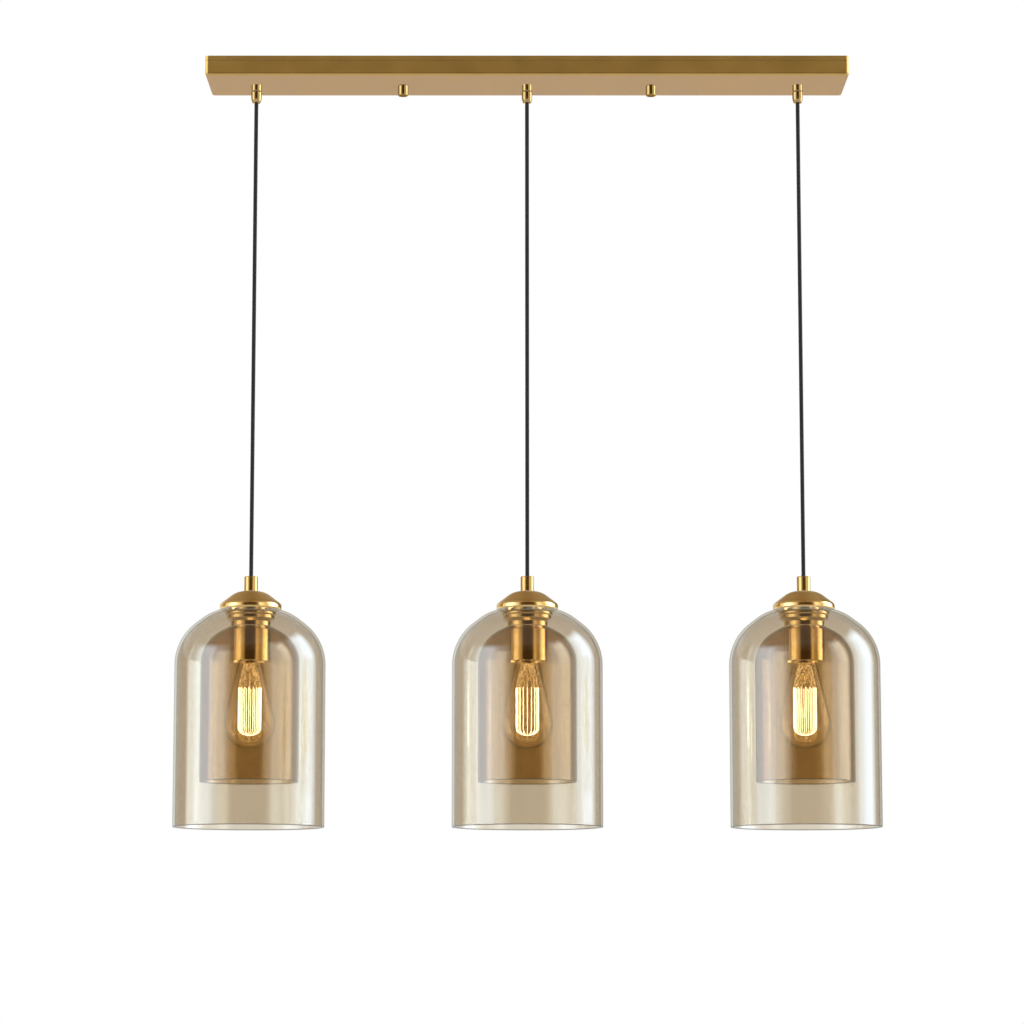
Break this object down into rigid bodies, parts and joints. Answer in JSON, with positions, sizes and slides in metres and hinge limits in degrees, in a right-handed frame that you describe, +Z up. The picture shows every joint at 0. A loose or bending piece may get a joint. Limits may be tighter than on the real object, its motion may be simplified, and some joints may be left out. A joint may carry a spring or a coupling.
{
  "type": "linear island pendant",
  "caption": "Linear island pendant: a long brass ceiling canopy with glass bell pendants on height-adjustable cords, each with a smaller bell inside and a screw-in filament bulb.",
  "frame": {"origin": "middle of the mounting bar's upper face, which lies on the ceiling", "axes": "+Z up to the ceiling, +X along the canopy and the row of pendants, +Y to the back"},
  "size_m": [0.8774, 0.1874, 0.9681],
  "materials": {
    "satin_brass": "satin brushed",
    "polished_brass": "polished",
    "zinc_steel": "zinc plated",
    "green_screw": "satin",
    "live_lead": "satin",
    "neutral_lead": "satin",
    "nylon": "satin",
    "bushing_rubber": "matt",
    "cord_black": "braided",
    "shade_glass": "champagne tinted, lightly mirrored",
    "clear_silicone": "clear",
    "phenolic": "satin",
    "contact_brass": "bright",
    "bulb_glass": "amber tinted",
    "filament": "glowing wire on a glass stem"
  },
  "bodies": {
    "canopy": {"canopy_shell": "satin_brass", "mounting_bar": "zinc_steel", "mounting_studs": "zinc_steel", "stud_nuts": "zinc_steel", "ground_screw": "green_screw", "canopy_cap_nuts": "polished_brass", "grip_bodies": "polished_brass", "grip_caps": "polished_brass", "grip_lock_nuts": "zinc_steel", "live_leads": "live_lead", "neutral_leads": "neutral_lead", "terminal_block": "nylon"},
    "swivel_1": {"grip_bushing_1": "bushing_rubber"},
    "line_1": {"cord_1": "cord_black"},
    "neck_1": {"neck_tube_1": "polished_brass"},
    "pendant_1": {"shade_cap_1": "polished_brass", "outer_glass_1": "shade_glass", "glass_gaskets_1": "clear_silicone", "glass_collar_1": "polished_brass", "inner_glass_1": "shade_glass", "socket_cup_1": "polished_brass", "threaded_tube_1": "zinc_steel", "lamp_holder_1": "phenolic", "holder_contacts_1": "contact_brass"},
    "bulb_seat_1": {"bulb_contact_1": "contact_brass"},
    "bulb_1": {"bulb_base_1": "contact_brass", "bulb_glass_1": "bulb_glass", "bulb_filament_1": "filament"},
    "swivel_2": {"grip_bushing_2": "bushing_rubber"},
    "line_2": {"cord_2": "cord_black"},
    "neck_2": {"neck_tube_2": "polished_brass"},
    "pendant_2": {"shade_cap_2": "polished_brass", "outer_glass_2": "shade_glass", "glass_gaskets_2": "clear_silicone", "glass_collar_2": "polished_brass", "inner_glass_2": "shade_glass", "socket_cup_2": "polished_brass", "threaded_tube_2": "zinc_steel", "lamp_holder_2": "phenolic", "holder_contacts_2": "contact_brass"},
    "bulb_seat_2": {"bulb_contact_2": "contact_brass"},
    "bulb_2": {"bulb_base_2": "contact_brass", "bulb_glass_2": "bulb_glass", "bulb_filament_2": "filament"},
    "swivel_3": {"grip_bushing_3": "bushing_rubber"},
    "line_3": {"cord_3": "cord_black"},
    "neck_3": {"neck_tube_3": "polished_brass"},
    "pendant_3": {"shade_cap_3": "polished_brass", "outer_glass_3": "shade_glass", "glass_gaskets_3": "clear_silicone", "glass_collar_3": "polished_brass", "inner_glass_3": "shade_glass", "socket_cup_3": "polished_brass", "threaded_tube_3": "zinc_steel", "lamp_holder_3": "phenolic", "holder_contacts_3": "contact_brass"},
    "bulb_seat_3": {"bulb_contact_3": "contact_brass"},
    "bulb_3": {"bulb_base_3": "contact_brass", "bulb_glass_3": "bulb_glass", "bulb_filament_3": "filament"}
  },
  "joints": [
    {"name": "swing_side_1", "type": "hinge", "parent": "canopy", "child": "swivel_1", "pos_m": [-0.345, 0, -0.0443], "axis": [0, 1, 0], "range_deg": [-9, 9]},
    {"name": "swing_front_1", "type": "hinge", "parent": "swivel_1", "child": "line_1", "pos_m": [-0.345, 0, -0.0443], "axis": [1, 0, 0], "range_deg": [-15, 15]},
    {"name": "drop_1", "type": "slide", "parent": "line_1", "child": "neck_1", "axis": [0, 0, 1], "range_m": [0, 0.45], "deforming": ["cord_1"]},
    {"name": "spin_1", "type": "hinge", "parent": "neck_1", "child": "pendant_1", "pos_m": [-0.345, 0, -0.67], "axis": [0, 0, 1], "range_deg": [-180, 180]},
    {"name": "bulb_travel_1", "type": "slide", "parent": "pendant_1", "child": "bulb_seat_1", "axis": [0, 0, 1], "range_m": [-0.0181, 0]},
    {"name": "bulb_turn_1", "type": "hinge", "parent": "bulb_seat_1", "child": "bulb_1", "pos_m": [-0.345, 0, -0.8], "axis": [0, 0, 1], "range_deg": [-1800, 0]},
    {"name": "swing_side_2", "type": "hinge", "parent": "canopy", "child": "swivel_2", "pos_m": [0, 0, -0.0443], "axis": [0, 1, 0], "range_deg": [-9, 9]},
    {"name": "swing_front_2", "type": "hinge", "parent": "swivel_2", "child": "line_2", "pos_m": [0, 0, -0.0443], "axis": [1, 0, 0], "range_deg": [-15, 15]},
    {"name": "drop_2", "type": "slide", "parent": "line_2", "child": "neck_2", "axis": [0, 0, 1], "range_m": [0, 0.45], "deforming": ["cord_2"]},
    {"name": "spin_2", "type": "hinge", "parent": "neck_2", "child": "pendant_2", "pos_m": [0, 0, -0.67], "axis": [0, 0, 1], "range_deg": [-180, 180]},
    {"name": "bulb_travel_2", "type": "slide", "parent": "pendant_2", "child": "bulb_seat_2", "axis": [0, 0, 1], "range_m": [-0.0181, 0]},
    {"name": "bulb_turn_2", "type": "hinge", "parent": "bulb_seat_2", "child": "bulb_2", "pos_m": [0, 0, -0.8], "axis": [0, 0, 1], "range_deg": [-1800, 0]},
    {"name": "swing_side_3", "type": "hinge", "parent": "canopy", "child": "swivel_3", "pos_m": [0.345, 0, -0.0443], "axis": [0, 1, 0], "range_deg": [-9, 9]},
    {"name": "swing_front_3", "type": "hinge", "parent": "swivel_3", "child": "line_3", "pos_m": [0.345, 0, -0.0443], "axis": [1, 0, 0], "range_deg": [-15, 15]},
    {"name": "drop_3", "type": "slide", "parent": "line_3", "child": "neck_3", "axis": [0, 0, 1], "range_m": [0, 0.45], "deforming": ["cord_3"]},
    {"name": "spin_3", "type": "hinge", "parent": "neck_3", "child": "pendant_3", "pos_m": [0.345, 0, -0.67], "axis": [0, 0, 1], "range_deg": [-180, 180]},
    {"name": "bulb_travel_3", "type": "slide", "parent": "pendant_3", "child": "bulb_seat_3", "axis": [0, 0, 1], "range_m": [-0.0181, 0]},
    {"name": "bulb_turn_3", "type": "hinge", "parent": "bulb_seat_3", "child": "bulb_3", "pos_m": [0.345, 0, -0.8], "axis": [0, 0, 1], "range_deg": [-1800, 0]}
  ],
  "couplings": [
    {"joint": "bulb_turn_1", "follows": "bulb_travel_1", "rad_per_m": 1731.4},
    {"joint": "bulb_turn_2", "follows": "bulb_travel_2", "rad_per_m": 1731.4},
    {"joint": "bulb_turn_3", "follows": "bulb_travel_3", "rad_per_m": 1731.4}
  ]
}
